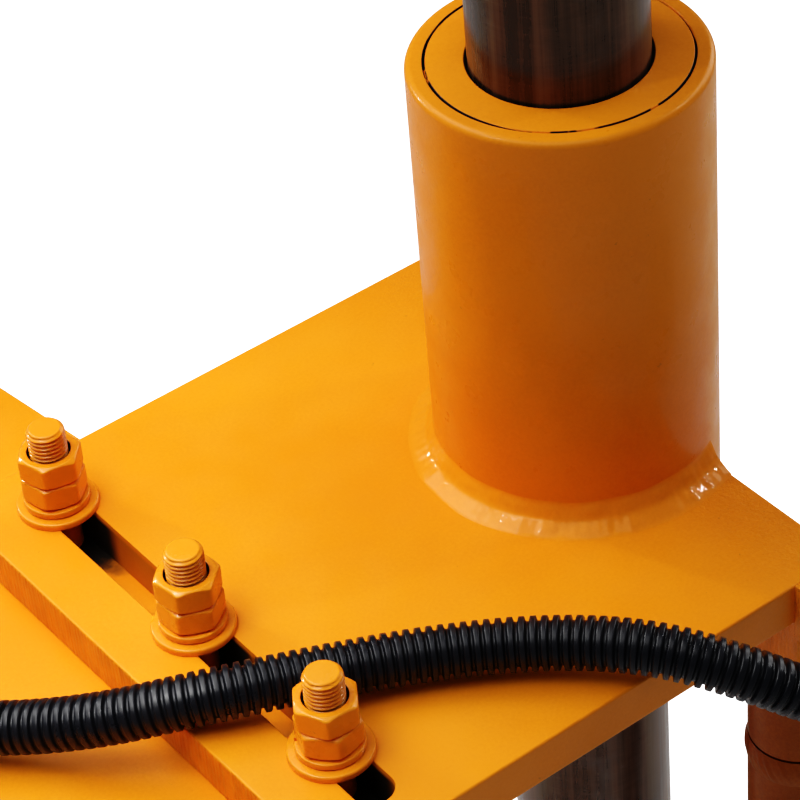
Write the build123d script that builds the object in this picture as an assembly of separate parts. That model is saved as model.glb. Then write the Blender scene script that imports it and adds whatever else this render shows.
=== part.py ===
from build123d import *
from math import cos, pi, radians, sin, tan
import os

# A guided crosshead of a forming machine, in millimetres, +Z up.
# The column is fixed. A thick plate with a welded guide sleeve slides up and down on it, lifted by a
# small hydraulic ram under its front right corner. A carrier plate hangs under the left side of the
# crosshead plate on three studs, which pass through one long slot and can be set along it.
# The origin is the centre of the column's lower end. X runs across the plate, Y along the slot.

# Column
column_d = 70.0
column_length = 810.0
column_chamfer = 2.0
journal_d = 60.0
journal_length = 60.0
centre_hole_d = 10.0
centre_hole_depth = 22.0

# Crosshead plate: deck_z is the height of its top face at rest
deck_z = 420.0
plate_t = 20.0
plate_left = -222.0
plate_right = 27.5
plate_front = -130.0
plate_back = 135.5
slide_gap = 0.05
edge_round = 1.0
slot_x = -187.4
slot_w = 17.0
slot_front = -114.0
slot_back = 125.0

# Guide sleeve with a bush pressed into each end, on a running fit over the column
sleeve_od = 118.0
sleeve_id = 103.0
sleeve_rise = 185.0
sleeve_drop = 60.0
sleeve_round = 3.0
bush_length = 62.0
bush_clearance = 0.05
gap_chamfer = 0.8
bore_chamfer = 1.3
wiper_t = 6.0
weld_leg = 11.0
nipple_z = deck_z + 95.0

# Carrier plate under the slot
carrier_t = 20.0
carrier_left = -345.0
carrier_right = -146.0
carrier_front = -130.0
carrier_back = 225.0
taper_start = 150.0
taper_in = 9.5
bolt_x = -325.0
bolt_pitch = 110.0
bolt_hole_d = 17.5

# Studs and what is on them, M16
stud_y = (106.5, 9.0, -80.5)
stud_d = 16.0
stud_rise = 41.0
stud_end_chamfer = 1.5
washer_od = 34.0
washer_t = 3.0
spring_od = 27.4
spring_t = 3.8
spring_gap = 1.6
nut_af = 24.0
nut_h = 11.2
nut_turn = ((12.0, 16.0), (4.0, 9.0), (41.0, 26.0))

# Lift ram, closed at rest
ram_x = 24.0
ram_y = -108.5
block_size = (34.0, 40.0, 37.0)
block_centre_x = 22.0
barrel_od = 42.0
barrel_id = 32.0
cap_length = 53.0
bead_od = 45.0
bead_h = 14.0
stroke = 120.0
piston_t = 24.0
gland_length = 34.0
gland_flange_t = 14.0
rod_d = 20.0
rod_below = 42.0
eye_bore_d = 16.0
eye_width = 24.0
eye_od = 40.0
port_d = 14.0

# Terminal box on its bracket, outside the plate's front right corner
bracket_t = 5.0
bracket_screw_x = (7.5, 19.0)
screw_d = 6.0
screw_reach = 12.0
box_size = (62.0, 48.0, 50.0)
box_centre = (91.0, -192.0, deck_z - 25.5)
box_wall = 3.0
lid_t = 8.0

# Conduit: a corrugated hose with a wire loom in it, from the box to an inline connector
conduit_d = 21.2
conduit_route = [
    (-300, 45, deck_z - 5.5), (-275.5, 19.5, deck_z - 5.5), (-247, -13, deck_z + 4.5),
    (-215, -38.5, deck_z + 15), (-173, -56.3, deck_z + 13.6), (-132.5, -76, deck_z + 12.4),
    (-97, -101.5, deck_z + 13.4), (-72, -131, deck_z + 15.5), (-51, -156.5, deck_z + 7.5),
    (-28.5, -175, deck_z - 9), (-4, -187, deck_z - 21), (21, -192, deck_z - 25.5),
    (44, -192, deck_z - 25.5),
]
connector_d = 28.0
connector_length = 46.0
gland_nut_af = 27.0

os.makedirs("parts", exist_ok=True)


def save(shape, node):
    export_step(shape, f"parts/{node}.step")


def tube(outer_d, inner_d, low, high):
    """A round tube about the column's axis."""
    ring = Cylinder(outer_d / 2, high - low) - Cylinder(inner_d / 2, high - low + 2)
    return Pos(0, 0, (low + high) / 2) * ring


def hex_bar(across_flats, height):
    """A hexagonal prism with its corners cut back at both ends, standing on Z = 0."""
    corner_r = across_flats / 2 / cos(pi / 6)
    prism = extrude(RegularPolygon(corner_r, 6), height)
    barrel = Cylinder(corner_r + 0.01, height)
    cone_step = corner_r - across_flats / 2 * 0.97
    blank = chamfer(barrel.edges().filter_by(GeomType.CIRCLE), cone_step * tan(radians(30)), cone_step)
    return prism & (Pos(0, 0, height / 2) * blank)


def fillet_weld(inner_r, leg, low):
    """A full ring of fillet weld with a slightly hollow face, its root at inner_r and height low."""
    face = ThreePointArc((inner_r + leg, low), (inner_r + leg * 0.44, low + leg * 0.44), (inner_r, low + leg))
    outline = Line((inner_r, low + leg), (inner_r, low)) + Line((inner_r, low), (inner_r + leg, low)) + face
    return revolve(Plane.XZ * make_face(outline), Axis.Z)


def make_column():
    body_length = column_length - 2 * journal_length
    body = Pos(0, 0, column_length / 2) * Cylinder(column_d / 2, body_length)
    body = chamfer(body.edges().filter_by(GeomType.CIRCLE), column_chamfer)
    journals = Pos(0, 0, column_length / 2) * Cylinder(journal_d / 2, column_length)
    journals = chamfer(journals.edges().filter_by(GeomType.CIRCLE), column_chamfer)
    hole = Pos(0, 0, column_length - centre_hole_depth / 2) * Cylinder(centre_hole_d / 2, centre_hole_depth)
    save(body + journals - hole, "guide_column")


def make_crosshead_plate():
    width = plate_right - plate_left
    depth = plate_back - plate_front
    middle = Pos((plate_left + plate_right) / 2, (plate_front + plate_back) / 2, deck_z - plate_t / 2)
    plate = middle * Box(width, depth, plate_t)
    plate = fillet(plate.edges(), edge_round)
    slot_length = slot_back - slot_front
    slot = extrude(SlotOverall(slot_length, slot_w, rotation=90), plate_t + 4, both=True)
    plate -= Pos(slot_x, (slot_front + slot_back) / 2, deck_z) * slot
    plate -= Pos(0, 0, deck_z) * Cylinder(sleeve_od / 2, 3 * plate_t)
    for x in bracket_screw_x:
        tapped = Rot(90, 0, 0) * Cylinder(screw_d / 2 + slide_gap, 2 * (screw_reach + 2))
        plate -= Pos(x, plate_front, deck_z - plate_t / 2) * tapped
    save(plate, "crosshead_plate")


def make_sleeve_and_bushes():
    top = deck_z + sleeve_rise
    bottom = deck_z - sleeve_drop
    sleeve = tube(sleeve_od, sleeve_id, bottom, top)
    rings = sleeve.edges().filter_by(GeomType.CIRCLE)
    outer = [edge for edge in rings if edge.radius > sleeve_id / 2 + 1]
    sleeve = fillet(outer, sleeve_round)
    rings = sleeve.edges().filter_by(GeomType.CIRCLE)
    inner = [edge for edge in rings if edge.radius < sleeve_id / 2 + 0.1]
    sleeve = chamfer(inner, gap_chamfer)
    nipple_hole = Pos(0, sleeve_od / 2, nipple_z) * Rot(90, 0, 0) * Cylinder(4.0, 30)
    save(sleeve - nipple_hole, "guide_sleeve")

    bore = column_d + 2 * bush_clearance
    for node, low, high in (
        ("upper_bush", top - bush_length, top),
        ("lower_bush", bottom + wiper_t, bottom + wiper_t + bush_length),
    ):
        bush = tube(sleeve_id, bore, low, high)
        rings = bush.edges().filter_by(GeomType.CIRCLE)
        outer = [edge for edge in rings if edge.radius > bore / 2 + 1]
        bush = chamfer(outer, gap_chamfer)
        rings = bush.edges().filter_by(GeomType.CIRCLE)
        inner = [edge for edge in rings if edge.radius < bore / 2 + 0.01]
        save(chamfer(inner, bore_chamfer), node)

    wiper = tube(sleeve_id, bore, bottom, bottom + wiper_t)
    save(wiper, "wiper_ring")


def make_sleeve_welds():
    beyond_plate = Pos(plate_right + 50, 0, deck_z) * Box(100, 300, 100)
    upper = fillet_weld(sleeve_od / 2, weld_leg, deck_z)
    save(upper - beyond_plate, "upper_weld")
    lower = mirror(fillet_weld(sleeve_od / 2, weld_leg, 0), Plane.XY)
    lower = Pos(0, 0, deck_z - plate_t) * lower
    save(lower - beyond_plate, "lower_weld")


def make_grease_nipple():
    shank = Cylinder(4.0, 7.5, align=(Align.CENTER, Align.CENTER, Align.MAX))
    collar = hex_bar(11.0, 5.0)
    neck = Pos(0, 0, 5) * Cylinder(2.4, 4, align=(Align.CENTER, Align.CENTER, Align.MIN))
    head = Pos(0, 0, 10.5) * Sphere(3.2)
    nipple = shank + collar + neck + head
    nipple -= Pos(0, 0, 3) * Cylinder(1.0, 24)
    save(Pos(0, sleeve_od / 2 + 0.2, nipple_z) * Rot(-90, 0, 0) * nipple, "grease_nipple")


def make_carrier_plate():
    bottom = deck_z - plate_t - slide_gap - carrier_t
    outline = Polyline(
        (carrier_left, carrier_front), (carrier_right, carrier_front), (carrier_right, taper_start),
        (carrier_right - taper_in, carrier_back), (carrier_left, carrier_back), close=True,
    )
    plate = Pos(0, 0, bottom) * extrude(make_face(outline), carrier_t)
    plate = chamfer(plate.edges(), edge_round / 2)
    for y in stud_y:
        plate -= Pos(slot_x, y, bottom) * Cylinder(stud_d / 2, 3 * carrier_t)
    for row in (-1, 0, 1):
        plate -= Pos(bolt_x, row * bolt_pitch, bottom) * Cylinder(bolt_hole_d / 2, 3 * carrier_t)
    save(plate, "carrier_plate")


def make_stud_sets():
    for index, y in enumerate(stud_y, start=1):
        at = Pos(slot_x, y, deck_z + slide_gap)
        length = stud_rise + plate_t + 2 * slide_gap + carrier_t
        stud = Pos(0, 0, stud_rise - length / 2) * Cylinder(stud_d / 2, length)
        stud = chamfer(stud.edges().filter_by(GeomType.CIRCLE), stud_end_chamfer)
        save(at * stud, f"stud_{index}")

        washer = Cylinder(washer_od / 2, washer_t) - Cylinder(stud_d / 2 + 0.75, washer_t + 2)
        rim = [edge for edge in washer.edges().filter_by(GeomType.CIRCLE) if edge.radius > stud_d]
        washer = fillet(rim, 0.5)
        save(at * Pos(0, 0, washer_t / 2) * washer, f"flat_washer_{index}")

        ring = Cylinder(spring_od / 2, spring_t) - Cylinder(stud_d / 2 + 0.3, spring_t + 2)
        cut = Pos(spring_od / 2, 0, 0) * Rot(20, 0, 0) * Box(spring_od, spring_gap, 3 * spring_t)
        ring = Pos(0, 0, washer_t + spring_t / 2) * Rot(0, 0, 140) * (ring - cut)
        save(at * ring, f"spring_washer_{index}")

        base = washer_t + spring_t
        for level, name in enumerate(("lower_nut", "upper_nut")):
            nut = hex_bar(nut_af, nut_h) - Cylinder(stud_d / 2 + 0.02, 4 * nut_h)
            rings = nut.edges().filter_by(GeomType.CIRCLE)
            mouth = [edge for edge in rings if abs(edge.radius - stud_d / 2 - 0.02) < 0.01]
            nut = chamfer(mouth, 1.1)
            turn = Rot(0, 0, nut_turn[index - 1][level])
            save(at * Pos(0, 0, base + level * nut_h) * turn * nut, f"{name}_{index}")


def make_ram():
    axis = Pos(ram_x, ram_y, 0)
    block_top = deck_z - plate_t
    block_low = block_top - block_size[2]
    block = Pos(block_centre_x, ram_y, (block_top + block_low) / 2) * Box(*block_size)
    save(chamfer(block.edges(), 1.0), "ram_block")

    cap_low = block_low - cap_length
    cap = Pos(0, 0, cap_low + cap_length / 2) * Cylinder(barrel_od / 2, cap_length)
    cap = chamfer(cap.edges().filter_by(GeomType.CIRCLE), 1.2)
    spigot = Pos(0, 0, cap_low - 5) * Cylinder(barrel_id / 2, 10)
    port = Pos(0, 0, cap_low + 18) * Rot(0, 90, 0) * Cylinder(port_d / 2, barrel_od / 2 + 2,
                                                                  align=(Align.CENTER, Align.CENTER, Align.MIN))
    duct = Pos(0, 0, cap_low + 2) * Cylinder(3.0, 40)
    save(axis * (cap + spigot - port - duct), "ram_cap")

    bead_mid = cap_low - bead_h / 2
    half = bead_h / 2
    arc = ThreePointArc((barrel_od / 2, -half), (bead_od / 2, 0), (barrel_od / 2, half))
    bead_face = Plane.XZ * make_face(arc + Line((barrel_od / 2, half), (barrel_od / 2, -half)))
    save(axis * Pos(0, 0, bead_mid) * revolve(bead_face, Axis.Z), "ram_weld_bead")

    inside = 10 + piston_t + stroke + gland_length - gland_flange_t + 0.5
    barrel_low = cap_low - inside
    barrel = Pos(0, 0, (cap_low + barrel_low) / 2) * (
        Cylinder(barrel_od / 2, inside) - Cylinder(barrel_id / 2, inside + 2))
    port_z = barrel_low + gland_length - gland_flange_t + 9
    boss = Pos(0, 0, port_z) * Rot(0, 90, 0) * Cylinder(10, barrel_od / 2 + 8,
                                                        align=(Align.CENTER, Align.CENTER, Align.MIN))
    boss -= Pos(0, 0, (cap_low + barrel_low) / 2) * Cylinder(barrel_id / 2 + 1, inside)
    hole = Pos(0, 0, port_z) * Rot(0, 90, 0) * Cylinder(port_d / 2, barrel_od,
                                                        align=(Align.CENTER, Align.CENTER, Align.MIN))
    save(axis * (barrel + boss - hole), "ram_barrel")

    gland_low = barrel_low - gland_flange_t
    gland_bore = rod_d / 2 + 0.05
    gland = Pos(0, 0, gland_low) * extrude(Circle(barrel_od / 2 + 1), gland_flange_t)
    gland += Pos(0, 0, barrel_low) * extrude(Circle(barrel_id / 2), gland_length - gland_flange_t)
    gland -= Pos(0, 0, gland_low + gland_length / 2) * Cylinder(gland_bore, gland_length + 2)
    gland -= Pos(0, 0, gland_low) * Cylinder(14.0, 2 * 6.0)
    for angle in range(0, 360, 60):
        notch = Rot(0, 0, angle) * Pos(barrel_od / 2 + 1, 0, gland_low + 4) * Box(5, 6, 9)
        gland -= notch
    save(axis * gland, "ram_gland")
    wiper = Cylinder(14.0, 6.0) - Cylinder(gland_bore, 8.0)
    save(axis * Pos(0, 0, gland_low + 3.0) * wiper, "rod_wiper")

    piston_high = cap_low - 10.2
    rod_low = gland_low - rod_below
    piston = Cylinder(barrel_id / 2 - 0.05, piston_t) - Cylinder(7.0, piston_t + 2)
    for z in (-6.0, 6.0):
        piston -= Pos(0, 0, z) * (Cylinder(20, 4) - Cylinder(barrel_id / 2 - 3, 5))
    save(axis * Pos(0, 0, piston_high - piston_t / 2) * piston, "ram_piston")
    seal = Cylinder(barrel_id / 2 - 0.03, 4) - Cylinder(barrel_id / 2 - 3, 5)
    for index, z in enumerate((6.0, -6.0), start=1):
        save(axis * Pos(0, 0, piston_high - piston_t / 2 + z) * seal, f"piston_seal_{index}")

    rod_high = piston_high - piston_t
    rod = Pos(0, 0, (rod_low + rod_high) / 2) * Cylinder(rod_d / 2, rod_high - rod_low)
    rod += Pos(0, 0, rod_high) * extrude(Circle(7.0), piston_t)
    rod += Pos(0, 0, rod_low - 22) * extrude(Circle(7.0), 22)
    save(axis * rod, "ram_rod")

    nut = Pos(0, 0, rod_low - 8.0) * (hex_bar(22.0, 8.0) - Cylinder(7.0, 40))
    save(axis * nut, "rod_jam_nut")
    eye_z = rod_low - 8.0 - 34.0
    neck = Pos(0, 0, eye_z) * extrude(Circle(eye_width / 2), 34.0)
    ring = Pos(0, 0, eye_z) * Rot(90, 0, 0) * Cylinder(eye_od / 2, eye_width)
    eye = neck + ring - Pos(0, 0, eye_z) * Rot(90, 0, 0) * Cylinder(eye_bore_d / 2, eye_width + 10)
    eye -= Pos(0, 0, rod_low - 22) * extrude(Circle(7.0), 22)
    save(axis * eye, "rod_eye")
    print("rod eye centre", ram_x, ram_y, eye_z, "lowest", eye_z - eye_od / 2)

    for node, z, out in (("cap_port_fitting", cap_low + 18, barrel_od / 2),
                         ("rod_port_fitting", port_z, barrel_od / 2 + 8)):
        fitting = Pos(0, 0, -9) * extrude(Circle(port_d / 2), 9)
        fitting += hex_bar(19.0, 9.0)
        fitting += Pos(0, 0, 9) * extrude(Circle(8.0), 12.0)
        fitting -= Pos(0, 0, -9) * Cylinder(3.5, 80)
        save(axis * Pos(out, 0, z) * Rot(0, 90, 0) * fitting, node)


def make_terminal_box():
    x, y, z = box_centre
    box_x, box_y, box_z = box_size
    box_back = y + box_y / 2
    web_x = 26.0
    flange_left = 1.0
    height = 28.0
    mid_z = deck_z - height / 2
    near_mid = (flange_left + web_x + bracket_t) / 2
    near_length = web_x + bracket_t - flange_left
    near = Pos(near_mid, plate_front - bracket_t / 2, mid_z) * Box(near_length, bracket_t, height)
    web_mid = (plate_front + box_back) / 2
    web = Pos(web_x + bracket_t / 2, web_mid, mid_z) * Box(bracket_t, plate_front - box_back, height)
    far_right = x + box_x / 2
    far_mid = (web_x + far_right) / 2
    far = Pos(far_mid, box_back + bracket_t / 2, mid_z) * Box(far_right - web_x, bracket_t, height)
    bracket = near + web + far
    for index, screw_x in enumerate(bracket_screw_x, start=1):
        at = Pos(screw_x, plate_front - bracket_t, deck_z - plate_t / 2) * Rot(90, 0, 0)
        bracket -= at * Cylinder(screw_d / 2 + 0.4, 4 * bracket_t)
        shank = Pos(0, 0, -bracket_t - screw_reach) * extrude(Circle(screw_d / 2), bracket_t + screw_reach)
        head = extrude(Circle(screw_d * 0.8), screw_d)
        socket = Pos(0, 0, screw_d / 2) * extrude(RegularPolygon(screw_d * 0.45, 6), screw_d)
        save(at * (shank + head - socket), f"bracket_screw_{index}")
    save(bracket, "box_bracket")

    shell = Pos(x, y, z) * Box(box_x, box_y, box_z)
    shell = fillet(shell.edges().filter_by(Axis.Z), 4.0)
    hollow = Pos(x, y, z + box_wall) * Box(box_x - 2 * box_wall, box_y - 2 * box_wall, box_z)
    posts = [(sx * (box_x / 2 - 6), sy * (box_y / 2 - 6)) for sx in (-1, 1) for sy in (-1, 1)]
    for px, py in posts:
        hollow -= Pos(x + px, y + py, z) * Cylinder(4.5, 2 * box_z)
    shell -= hollow
    shell -= Pos(x - box_x / 2, y, z) * Rot(0, 90, 0) * Cylinder(8.0, 4 * box_wall)
    for px, py in posts:
        shell -= Pos(x + px, y + py, z + box_z / 2) * Cylinder(2.0, 24)
    save(shell, "terminal_box")

    top = z + box_z / 2
    gasket = Pos(x, y, top + 0.75) * Box(box_x - 2, box_y - 2, 1.5)
    gasket -= Pos(x, y, top) * Box(box_x - 30, box_y - 30, 9)
    lid = Pos(x, y, top + 1.5 + lid_t / 2) * Box(box_x, box_y, lid_t)
    lid = fillet(lid.edges().filter_by(Axis.Z), 4.0)
    lid = fillet(lid.edges().group_by(Axis.Z)[-1], 1.5)
    screws = []
    for px, py in posts:
        at = Pos(x + px, y + py, 0)
        gasket -= at * Pos(0, 0, top) * Cylinder(2.2, 10)
        lid -= at * Pos(0, 0, top) * Cylinder(2.2, 40)
        lid -= at * Pos(0, 0, top + 1.5 + lid_t) * Cylinder(4.0, 6)
        head = Pos(0, 0, top + 1.5 + lid_t - 3) * extrude(Circle(3.8), 3)
        head -= Pos(0, 0, top + 1.5 + lid_t - 0.6) * Box(6, 1, 1.3)
        shaft = Pos(0, 0, top - 10) * extrude(Circle(2.0), lid_t + 8.5)
        screws.append(at * (head + shaft))
    save(gasket, "lid_gasket")
    save(lid, "terminal_lid")
    save(Compound(children=screws), "lid_screws")


def make_conduit():
    points = [Vector(*point) for point in conduit_route]
    radii = []
    for before, corner, after in zip(points, points[1:], points[2:]):
        half_turn = radians((corner - before).get_angle(after - corner)) / 2
        shorter = min((corner - before).length, (after - corner).length)
        radii.append(0.45 * shorter / tan(half_turn))
    print("conduit radii", [round(radius, 1) for radius in radii])
    path = FilletPolyline(*points, radius=radii)
    start = Plane(origin=points[0], z_dir=points[1] - points[0])
    hose = sweep(start * Circle(conduit_d / 2), path=path)
    section = pi * conduit_d ** 2 / 4
    ratio = hose.volume / (section * path.length)
    print("conduit length", round(path.length, 1), "volume ratio", round(ratio, 4))
    save(hose, "conduit")

    end = Plane(origin=points[0], z_dir=points[0] - points[1])
    body = extrude(Circle(connector_d / 2 - 1.5), connector_length)
    grip = Pos(0, 0, 14) * extrude(Circle(connector_d / 2), 22)
    back = extrude(Circle(connector_d / 2 - 0.5), 9)
    plug = body + grip + back
    plug -= Pos(0, 0, connector_length - 12) * extrude(Circle(connector_d / 2 - 4), 20)
    save(end * plug, "inline_connector")
    insert = Pos(0, 0, connector_length - 12) * extrude(Circle(connector_d / 2 - 4), 8)
    pins = [Pos(6 * cos(turn), 6 * sin(turn), connector_length - 4) * extrude(Circle(1.1), 3.4)
            for turn in (radians(step * 60) for step in range(6))]
    for pin in pins:
        insert += pin
    save(end * insert, "connector_insert")

    x, y, z = box_centre
    mouth = points[-1].X
    wall_x = x - box_size[0] / 2
    reach = wall_x - mouth
    gland = Pos(0, 0, 0) * hex_bar(gland_nut_af, reach * 0.45)
    gland += Pos(0, 0, reach * 0.45) * extrude(Circle(12.0), reach * 0.2)
    gland += Pos(0, 0, reach * 0.65) * hex_bar(24.0, reach * 0.35)
    gland += Pos(0, 0, reach) * extrude(Circle(8.0), box_wall)
    gland -= Pos(0, 0, -1) * extrude(Circle(6.0), reach + 12)
    save(Pos(mouth, y, z) * Rot(0, 90, 0) * gland, "conduit_gland")
    locknut = hex_bar(22.0, 4.0) - Cylinder(6.0, 20)
    save(Pos(wall_x + box_wall, y, z) * Rot(0, 90, 0) * locknut, "gland_locknut")


make_column()
make_crosshead_plate()
make_sleeve_and_bushes()
make_sleeve_welds()
make_grease_nipple()
make_carrier_plate()
make_stud_sets()
make_ram()
make_terminal_box()
make_conduit()
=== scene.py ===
import math
import random

import bpy
from mathutils import Matrix, Vector


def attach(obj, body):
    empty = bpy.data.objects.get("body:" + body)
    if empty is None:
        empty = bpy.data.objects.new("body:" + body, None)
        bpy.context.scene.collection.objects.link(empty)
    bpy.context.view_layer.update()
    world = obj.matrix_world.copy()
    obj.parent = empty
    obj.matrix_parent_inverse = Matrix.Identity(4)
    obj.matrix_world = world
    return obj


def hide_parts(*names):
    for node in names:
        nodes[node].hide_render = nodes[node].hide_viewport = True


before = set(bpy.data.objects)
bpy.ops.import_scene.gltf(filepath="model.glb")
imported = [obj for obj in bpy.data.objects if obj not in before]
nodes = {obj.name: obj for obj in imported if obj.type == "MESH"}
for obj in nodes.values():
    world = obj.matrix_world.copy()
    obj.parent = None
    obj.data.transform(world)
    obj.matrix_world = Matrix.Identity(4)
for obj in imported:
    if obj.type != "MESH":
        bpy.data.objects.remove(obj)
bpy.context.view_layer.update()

# A guided crosshead: an amber plate and sleeve on an oily column, a carrier plate held by three studs,
# and a black corrugated conduit lying across. Metres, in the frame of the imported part.

deckZ = 0.420
plateT = 0.020
studX = -0.1874
studY = (0.1065, 0.009, -0.0805)
sleeveOuter = 0.059
sleeveInner = 0.0515
columnR = 0.035


def makeObject(name, mesh):
    obj = bpy.data.objects.new(name, mesh)
    bpy.context.scene.collection.objects.link(obj)
    return obj


def gridMesh(name, rows, closeAlong=False, sharpAngle=40):
    # rows is a list of rings or strips with the same number of points; each ring is closed on itself
    count = len(rows[0])
    faces = []
    last = len(rows) if closeAlong else len(rows) - 1
    for i in range(last):
        j = (i + 1) % len(rows)
        for k in range(count):
            m = (k + 1) % count
            faces.append((i * count + k, i * count + m, j * count + m, j * count + k))
    mesh = bpy.data.meshes.new(name)
    mesh.from_pydata([point for row in rows for point in row], [], faces)
    mesh.shade_smooth()
    mesh.set_sharp_from_angle(angle=math.radians(sharpAngle))
    mesh.validate()
    return mesh


def roundedProfile(corners, steps=6):
    # corners are (radius, height, rounding); each rounded corner becomes a short arc
    points = []
    count = len(corners)
    for i in range(count):
        here = Vector(corners[i][:2])
        rounding = corners[i][2]
        if rounding == 0:
            points.append(tuple(here))
            continue
        before = (Vector(corners[i - 1][:2]) - here).normalized()
        after = (Vector(corners[(i + 1) % count][:2]) - here).normalized()
        half = before.angle(after) / 2
        reach = rounding / math.tan(half)
        centre = here + (before + after).normalized() * (rounding / math.sin(half))
        start = here + before * reach - centre
        end = here + after * reach - centre
        turn = start.angle_signed(end)
        for k in range(steps + 1):
            angle = -turn * k / steps
            cosine, sine = math.cos(angle), math.sin(angle)
            points.append((centre.x + start.x * cosine - start.y * sine,
                           centre.y + start.x * sine + start.y * cosine))
    return points


def lathe(name, corners, segments=192, sharpAngle=40, steps=6):
    # corners run anticlockwise in (radius, height), so that the faces point outwards
    profile = roundedProfile(corners, steps)
    rows = []
    for radius, height in profile:
        row = []
        for k in range(segments):
            angle = 2 * math.pi * k / segments
            row.append((radius * math.cos(angle), radius * math.sin(angle), height))
        rows.append(row)
    return gridMesh(name, rows, True, sharpAngle)


def put(tree, node, index, value):
    if isinstance(value, bpy.types.NodeSocket):
        tree.links.new(value, node.inputs[index])
    elif value is not None:
        node.inputs[index].default_value = value


def calc(tree, operation, *values):
    node = tree.nodes.new("ShaderNodeMath")
    node.operation = operation
    for index, value in enumerate(values):
        put(tree, node, index, value)
    return node.outputs[0]


def ramp(tree, value, low, high, lowValue=0.0, highValue=1.0, smooth=True):
    node = tree.nodes.new("ShaderNodeMapRange")
    node.interpolation_type = "SMOOTHSTEP" if smooth else "LINEAR"
    for index, item in enumerate((value, low, high, lowValue, highValue)):
        put(tree, node, index, item)
    return node.outputs[0]


def separate(tree, vector):
    node = tree.nodes.new("ShaderNodeSeparateXYZ")
    put(tree, node, 0, vector)
    return node.outputs[0], node.outputs[1], node.outputs[2]


def combine(tree, x, y, z):
    node = tree.nodes.new("ShaderNodeCombineXYZ")
    for index, value in enumerate((x, y, z)):
        put(tree, node, index, value)
    return node.outputs[0]


def surfaceGroup(name, inputs, columns, rows, shape):
    # A closed surface of revolution whose radius and height are worked out from the angle and the row
    group = bpy.data.node_groups.new(name, "GeometryNodeTree")
    group.interface.new_socket(name="Geometry", in_out="OUTPUT", socket_type="NodeSocketGeometry")
    for label, value in inputs.items():
        socket = group.interface.new_socket(name=label, in_out="INPUT", socket_type="NodeSocketFloat")
        socket.default_value = value
    socket = group.interface.new_socket(name="Material", in_out="INPUT", socket_type="NodeSocketMaterial")
    given = group.nodes.new("NodeGroupInput")
    grid = group.nodes.new("GeometryNodeMeshGrid")
    for index, value in enumerate((1.0, 1.0, columns + 1, rows + 1)):
        grid.inputs[index].default_value = value
    x, y, z = separate(group, group.nodes.new("GeometryNodeInputPosition").outputs[0])
    angle = calc(group, "MULTIPLY", calc(group, "ADD", x, 0.5), 2 * math.pi)
    row = calc(group, "ADD", y, 0.5)
    radius, height = shape(group, given.outputs, angle, row)
    placed = group.nodes.new("GeometryNodeSetPosition")
    group.links.new(grid.outputs[0], placed.inputs["Geometry"])
    spot = combine(group, calc(group, "MULTIPLY", radius, calc(group, "COSINE", angle)),
                   calc(group, "MULTIPLY", radius, calc(group, "SINE", angle)), height)
    group.links.new(spot, placed.inputs["Position"])
    merged = group.nodes.new("GeometryNodeMergeByDistance")
    merged.inputs["Distance"].default_value = 0.000002
    group.links.new(placed.outputs[0], merged.inputs["Geometry"])
    finishGroup(group, given, merged.outputs[0])
    return group


def finishGroup(group, given, geometry):
    realised = group.nodes.new("GeometryNodeRealizeInstances")
    group.links.new(geometry, realised.inputs[0])
    coated = group.nodes.new("GeometryNodeSetMaterial")
    group.links.new(realised.outputs[0], coated.inputs["Geometry"])
    group.links.new(given.outputs["Material"], coated.inputs["Material"])
    result = group.nodes.new("NodeGroupOutput")
    group.links.new(coated.outputs[0], result.inputs[0])


def grown(name, group, settings, material, place=Matrix(), source=None, sharpAngle=50):
    # Runs a node group, then keeps its result as a plain mesh in place
    obj = source or makeObject(name, bpy.data.meshes.new(name))
    modifier = obj.modifiers.new("shape", "NODES")
    modifier.node_group = group
    for item in group.interface.items_tree:
        if item.item_type == "SOCKET" and item.in_out == "INPUT" and item.name in settings:
            modifier[item.identifier] = settings[item.name]
        if item.item_type == "SOCKET" and item.in_out == "INPUT" and item.name == "Material":
            modifier[item.identifier] = material
    graph = bpy.context.evaluated_depsgraph_get()
    graph.update()
    mesh = bpy.data.meshes.new_from_object(obj.evaluated_get(graph))
    mesh.name = name
    bpy.data.objects.remove(obj)
    mesh.transform(place)
    mesh.shade_smooth()
    mesh.set_sharp_from_angle(angle=math.radians(sharpAngle))
    return makeObject(name, mesh)


def installed(obj, body, material, replaced=()):
    obj.data.materials.clear()
    obj.data.materials.append(material)
    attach(obj, body)
    if replaced:
        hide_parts(*replaced)


def coat(material, *names):
    for name in names:
        nodes[name].data.materials.clear()
        nodes[name].data.materials.append(material)


def newMaterial(name):
    material = bpy.data.materials.new(name)
    material.use_nodes = True
    tree = material.node_tree
    return material, tree, tree.nodes["Principled BSDF"]


def objectSpot(tree, scale=None):
    spot = tree.nodes.new("ShaderNodeTexCoord").outputs["Object"]
    if scale is None:
        return spot
    node = tree.nodes.new("ShaderNodeVectorMath")
    node.operation = "MULTIPLY"
    tree.links.new(spot, node.inputs[0])
    node.inputs[1].default_value = scale
    return node.outputs[0]


def noise(tree, spot, scale, detail=3.0, roughness=0.5, distortion=0.0):
    node = tree.nodes.new("ShaderNodeTexNoise")
    tree.links.new(spot, node.inputs["Vector"])
    node.inputs["Scale"].default_value = scale
    node.inputs["Detail"].default_value = detail
    node.inputs["Roughness"].default_value = roughness
    node.inputs["Distortion"].default_value = distortion
    return node.outputs["Fac"]


def blended(tree, factor, first, second):
    node = tree.nodes.new("ShaderNodeMix")
    node.data_type = "RGBA"
    put(tree, node, 0, factor)
    for index, value in ((6, first), (7, second)):
        if isinstance(value, bpy.types.NodeSocket):
            tree.links.new(value, node.inputs[index])
        else:
            node.inputs[index].default_value = (*value, 1.0)
    return node.outputs[2]


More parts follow.
